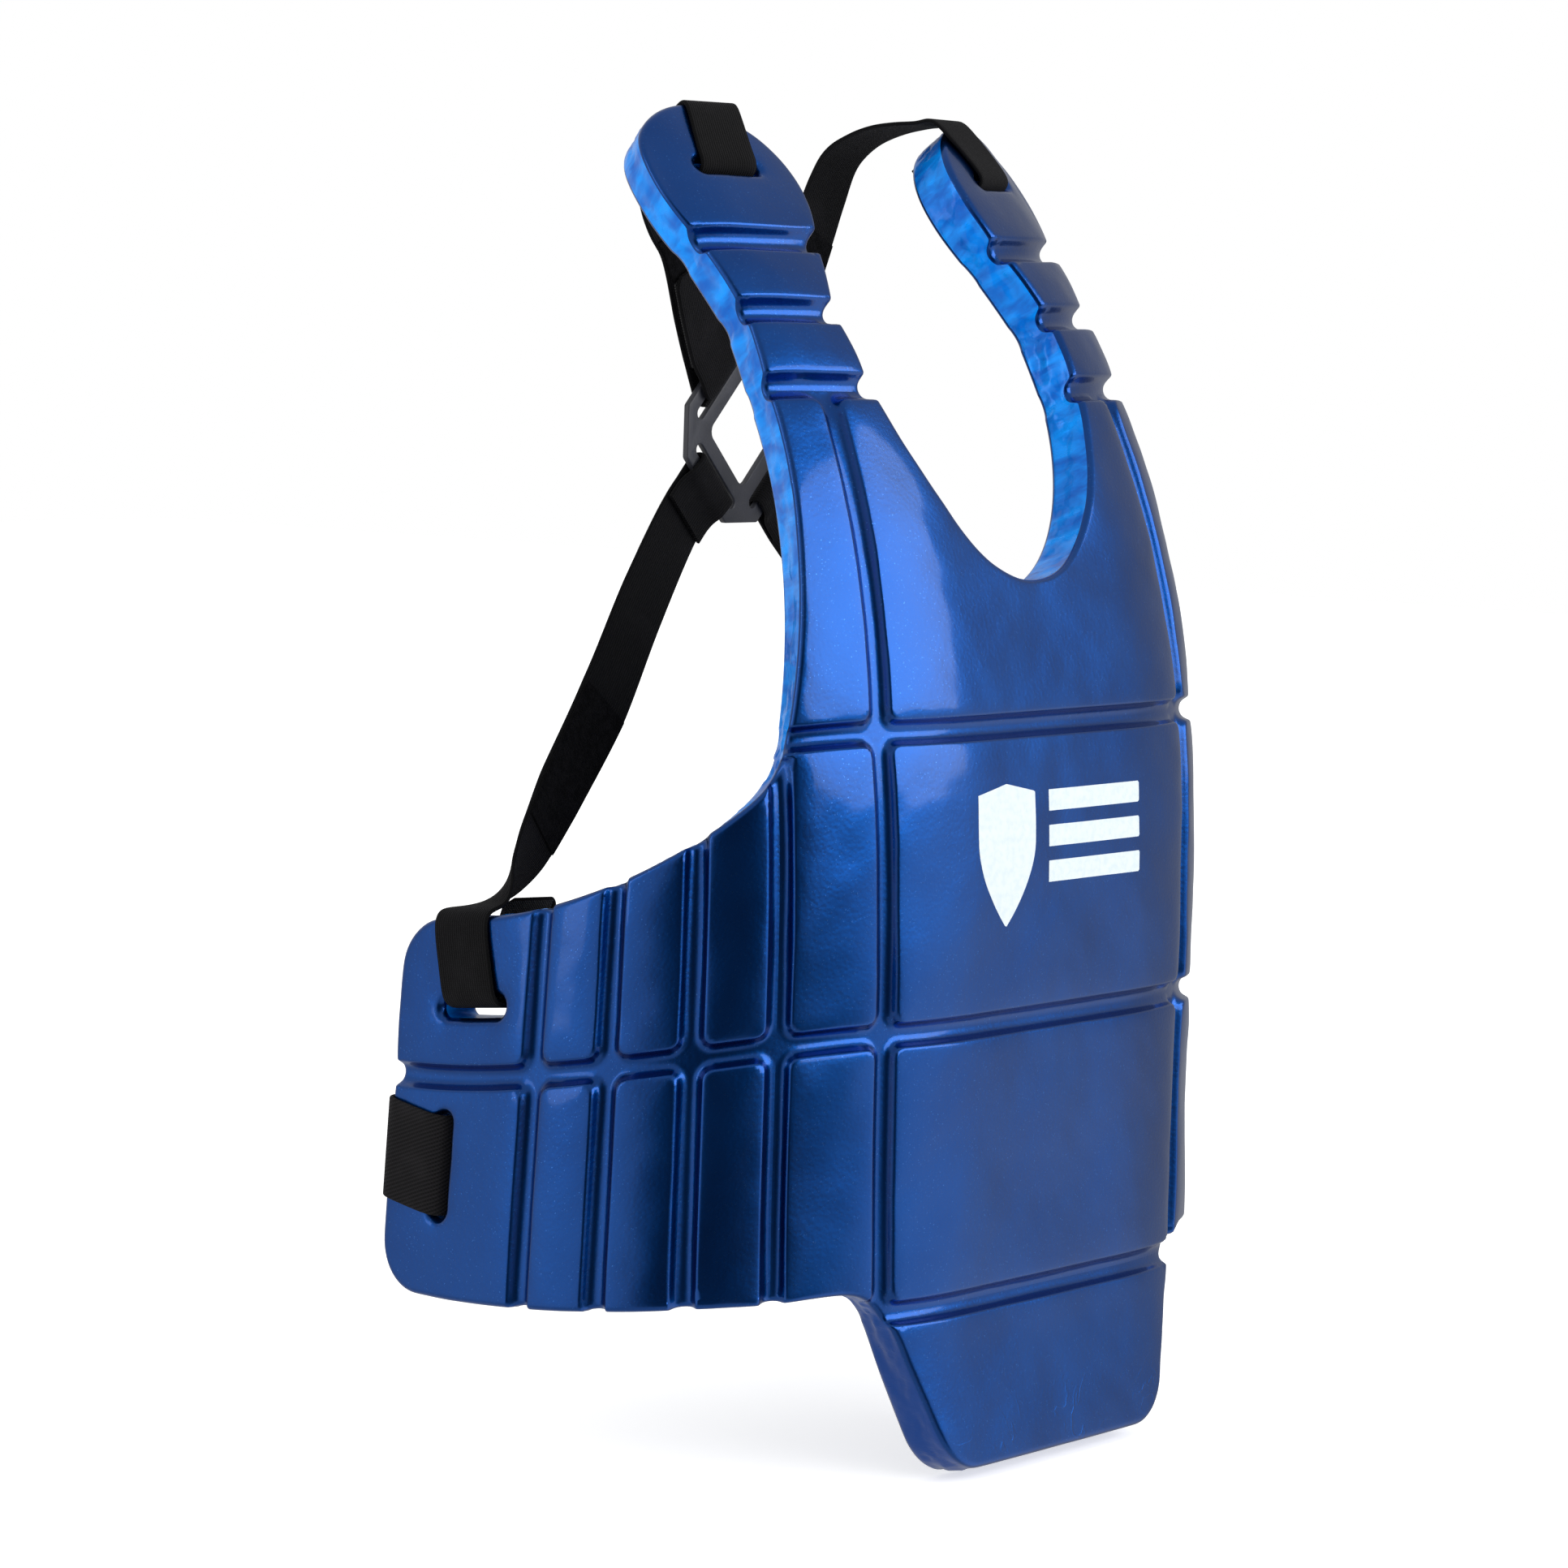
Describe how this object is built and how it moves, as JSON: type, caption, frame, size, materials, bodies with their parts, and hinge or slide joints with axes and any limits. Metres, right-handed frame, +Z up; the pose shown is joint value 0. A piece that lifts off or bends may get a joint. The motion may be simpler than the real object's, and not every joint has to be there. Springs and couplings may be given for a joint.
{
  "type": "martial arts chest protector",
  "caption": "Moulded foam chest protector with wrap-round side wings, padded panels, hip flap, shoulder tabs, a slotted back plate and elastic hook-and-loop straps.",
  "frame": {"origin": "middle of the wearer's torso: on the middle plane, 110 mm behind the front face and 230 mm above the groove over the hip flap", "axes": "+Z up, front of the guard towards -Y, wearer's left towards +X"},
  "size_m": [0.3968, 0.2693, 0.5695],
  "materials": {
    "coated_foam": "satin metallic blue dipped coating",
    "ribbed_elastic": "ribbed woven elastic",
    "waist_elastic": "twill woven elastic",
    "loop_pile": "fuzzy loop pile",
    "hook_tape": "hook tape",
    "back_plate_plastic": "fine matte moulded plastic"
  },
  "bodies": {
    "chest": {"front_panel": "coated_foam", "waist_strap": "waist_elastic", "right_shoulder_strap": "ribbed_elastic", "right_shoulder_loop_patch": "loop_pile", "right_side_strap": "ribbed_elastic", "right_side_loop_patch": "loop_pile", "right_waist_loop_patch": "loop_pile", "left_shoulder_strap": "ribbed_elastic", "left_shoulder_loop_patch": "loop_pile", "left_side_strap": "ribbed_elastic", "left_side_loop_patch": "loop_pile", "left_waist_loop_patch": "loop_pile"},
    "hip": {"hip_flap": "coated_foam"},
    "plate": {"back_plate": "back_plate_plastic"},
    "right_rear": {"right_rear_panel": "coated_foam", "right_side_strap_loop": "ribbed_elastic", "right_waist_strap_loop": "waist_elastic"},
    "right_strip_1": {"right_wing_strip_1": "coated_foam"},
    "right_strip_2": {"right_wing_strip_2": "coated_foam"},
    "right_strip_3": {"right_wing_strip_3": "coated_foam"},
    "right_tab": {"right_shoulder_tab": "coated_foam", "right_shoulder_strap_loop": "ribbed_elastic"},
    "right_link_1": {"right_shoulder_link_1": "coated_foam"},
    "right_link_2": {"right_shoulder_link_2": "coated_foam"},
    "right_shoulder_closing": {"right_shoulder_strap_end": "ribbed_elastic", "right_shoulder_hook_patch": "hook_tape"},
    "right_side_closing": {"right_side_strap_end": "ribbed_elastic", "right_side_hook_patch": "hook_tape"},
    "right_waist_closing": {"right_waist_strap_end": "waist_elastic", "right_waist_hook_patch": "hook_tape"},
    "left_rear": {"left_rear_panel": "coated_foam", "left_side_strap_loop": "ribbed_elastic", "left_waist_strap_loop": "waist_elastic"},
    "left_strip_1": {"left_wing_strip_1": "coated_foam"},
    "left_strip_2": {"left_wing_strip_2": "coated_foam"},
    "left_strip_3": {"left_wing_strip_3": "coated_foam"},
    "left_tab": {"left_shoulder_tab": "coated_foam", "left_shoulder_strap_loop": "ribbed_elastic"},
    "left_link_1": {"left_shoulder_link_1": "coated_foam"},
    "left_link_2": {"left_shoulder_link_2": "coated_foam"},
    "left_shoulder_closing": {"left_shoulder_strap_end": "ribbed_elastic", "left_shoulder_hook_patch": "hook_tape"},
    "left_side_closing": {"left_side_strap_end": "ribbed_elastic", "left_side_hook_patch": "hook_tape"},
    "left_waist_closing": {"left_waist_strap_end": "waist_elastic", "left_waist_hook_patch": "hook_tape"}
  },
  "joints": [
    {"name": "hip_flap_flex", "type": "hinge", "parent": "chest", "child": "hip", "pos_m": [0, -0.103, -0.2304], "axis": [-1, 0, 0], "range_deg": [-8, 35], "stiffness_Nm_per_rad": 0.8},
    {"name": "back_plate_float", "type": "slide", "parent": "chest", "child": "plate", "axis": [0, 0, 1], "range_m": [-0.008, 0.008], "stiffness_N_per_m": 150, "deforming": ["right_shoulder_strap", "left_shoulder_strap", "right_side_strap", "left_side_strap", "right_shoulder_loop_patch", "left_shoulder_loop_patch"]},
    {"name": "right_wing_flex", "type": "hinge", "parent": "chest", "child": "right_rear", "pos_m": [-0.1745, -0.0302, -0.1272], "axis": [0, 0, 1], "range_deg": [-8, 18], "stiffness_Nm_per_rad": 1.2, "deforming": ["right_side_strap", "right_side_loop_patch", "waist_strap", "right_waist_loop_patch"]},
    {"name": "right_strip_1_flex", "type": "hinge", "parent": "chest", "child": "right_strip_1", "pos_m": [-0.1745, -0.0302, -0.1272], "axis": [0, 0, 1], "range_deg": [-2.5, 5]},
    {"name": "right_strip_2_flex", "type": "hinge", "parent": "chest", "child": "right_strip_2", "pos_m": [-0.1745, -0.0302, -0.1272], "axis": [0, 0, 1], "range_deg": [-4.5, 9.5]},
    {"name": "right_strip_3_flex", "type": "hinge", "parent": "chest", "child": "right_strip_3", "pos_m": [-0.1745, -0.0302, -0.1272], "axis": [0, 0, 1], "range_deg": [-6.5, 14]},
    {"name": "right_tab_flex", "type": "hinge", "parent": "chest", "child": "right_tab", "pos_m": [-0.0976, -0.0282, 0.173], "axis": [-1, 0, 0], "range_deg": [-10, 12], "stiffness_Nm_per_rad": 1, "deforming": ["right_shoulder_strap", "right_shoulder_loop_patch"]},
    {"name": "right_link_1_flex", "type": "hinge", "parent": "chest", "child": "right_link_1", "pos_m": [-0.0976, -0.0282, 0.173], "axis": [-1, 0, 0], "range_deg": [-3.83, 4.5]},
    {"name": "right_link_2_flex", "type": "hinge", "parent": "chest", "child": "right_link_2", "pos_m": [-0.0976, -0.0282, 0.173], "axis": [-1, 0, 0], "range_deg": [-7.17, 8.5]},
    {"name": "right_shoulder_peel", "type": "hinge", "parent": "plate", "child": "right_shoulder_closing", "pos_m": [-0.0188, 0.0645, 0.1457], "axis": [0.7071, 0, 0.7071], "range_deg": [0, 70], "stiffness_Nm_per_rad": 0.01, "deforming": ["right_shoulder_strap", "right_shoulder_loop_patch"]},
    {"name": "right_side_peel", "type": "hinge", "parent": "right_rear", "child": "right_side_closing", "pos_m": [-0.1639, 0.053, -0.1097], "axis": [0, 1, 0], "range_deg": [0, 50], "stiffness_Nm_per_rad": 0.01, "deforming": ["right_side_strap", "right_side_loop_patch"]},
    {"name": "right_waist_peel", "type": "hinge", "parent": "right_rear", "child": "right_waist_closing", "pos_m": [-0.1663, 0.0692, -0.1755], "axis": [0, 0, -1], "range_deg": [0, 60], "stiffness_Nm_per_rad": 0.01, "deforming": ["waist_strap", "right_waist_loop_patch"]},
    {"name": "left_wing_flex", "type": "hinge", "parent": "chest", "child": "left_rear", "pos_m": [0.1745, -0.0302, -0.1272], "axis": [0, 0, -1], "range_deg": [-8, 18], "stiffness_Nm_per_rad": 1.2, "deforming": ["left_side_strap", "left_side_loop_patch", "waist_strap", "left_waist_loop_patch"]},
    {"name": "left_strip_1_flex", "type": "hinge", "parent": "chest", "child": "left_strip_1", "pos_m": [0.1745, -0.0302, -0.1272], "axis": [0, 0, -1], "range_deg": [-2.5, 5]},
    {"name": "left_strip_2_flex", "type": "hinge", "parent": "chest", "child": "left_strip_2", "pos_m": [0.1745, -0.0302, -0.1272], "axis": [0, 0, -1], "range_deg": [-4.5, 9.5]},
    {"name": "left_strip_3_flex", "type": "hinge", "parent": "chest", "child": "left_strip_3", "pos_m": [0.1745, -0.0302, -0.1272], "axis": [0, 0, -1], "range_deg": [-6.5, 14]},
    {"name": "left_tab_flex", "type": "hinge", "parent": "chest", "child": "left_tab", "pos_m": [0.0976, -0.0282, 0.173], "axis": [-1, 0, 0], "range_deg": [-10, 12], "stiffness_Nm_per_rad": 1, "deforming": ["left_shoulder_strap", "left_shoulder_loop_patch"]},
    {"name": "left_link_1_flex", "type": "hinge", "parent": "chest", "child": "left_link_1", "pos_m": [0.0976, -0.0282, 0.173], "axis": [-1, 0, 0], "range_deg": [-3.83, 4.5]},
    {"name": "left_link_2_flex", "type": "hinge", "parent": "chest", "child": "left_link_2", "pos_m": [0.0976, -0.0282, 0.173], "axis": [-1, 0, 0], "range_deg": [-7.17, 8.5]},
    {"name": "left_shoulder_peel", "type": "hinge", "parent": "plate", "child": "left_shoulder_closing", "pos_m": [0.0188, 0.0645, 0.1457], "axis": [0.7071, 0, -0.7071], "range_deg": [0, 70], "stiffness_Nm_per_rad": 0.01, "deforming": ["left_shoulder_strap", "left_shoulder_loop_patch"]},
    {"name": "left_side_peel", "type": "hinge", "parent": "left_rear", "child": "left_side_closing", "pos_m": [0.1639, 0.053, -0.1097], "axis": [0, -1, 0], "range_deg": [0, 50], "stiffness_Nm_per_rad": 0.01, "deforming": ["left_side_strap", "left_side_loop_patch"]},
    {"name": "left_waist_peel", "type": "hinge", "parent": "left_rear", "child": "left_waist_closing", "pos_m": [0.1663, 0.0692, -0.1755], "axis": [0, 0, 1], "range_deg": [0, 60], "stiffness_Nm_per_rad": 0.01, "deforming": ["waist_strap", "left_waist_loop_patch"]}
  ],
  "couplings": [
    {"joint": "right_strip_1_flex", "follows": "right_wing_flex", "ratio": 0.25},
    {"joint": "right_strip_2_flex", "follows": "right_wing_flex", "ratio": 0.5},
    {"joint": "right_strip_3_flex", "follows": "right_wing_flex", "ratio": 0.75},
    {"joint": "right_link_1_flex", "follows": "right_tab_flex", "ratio": 0.3333},
    {"joint": "right_link_2_flex", "follows": "right_tab_flex", "ratio": 0.6667},
    {"joint": "left_strip_1_flex", "follows": "left_wing_flex", "ratio": 0.25},
    {"joint": "left_strip_2_flex", "follows": "left_wing_flex", "ratio": 0.5},
    {"joint": "left_strip_3_flex", "follows": "left_wing_flex", "ratio": 0.75},
    {"joint": "left_link_1_flex", "follows": "left_tab_flex", "ratio": 0.3333},
    {"joint": "left_link_2_flex", "follows": "left_tab_flex", "ratio": 0.6667}
  ]
}
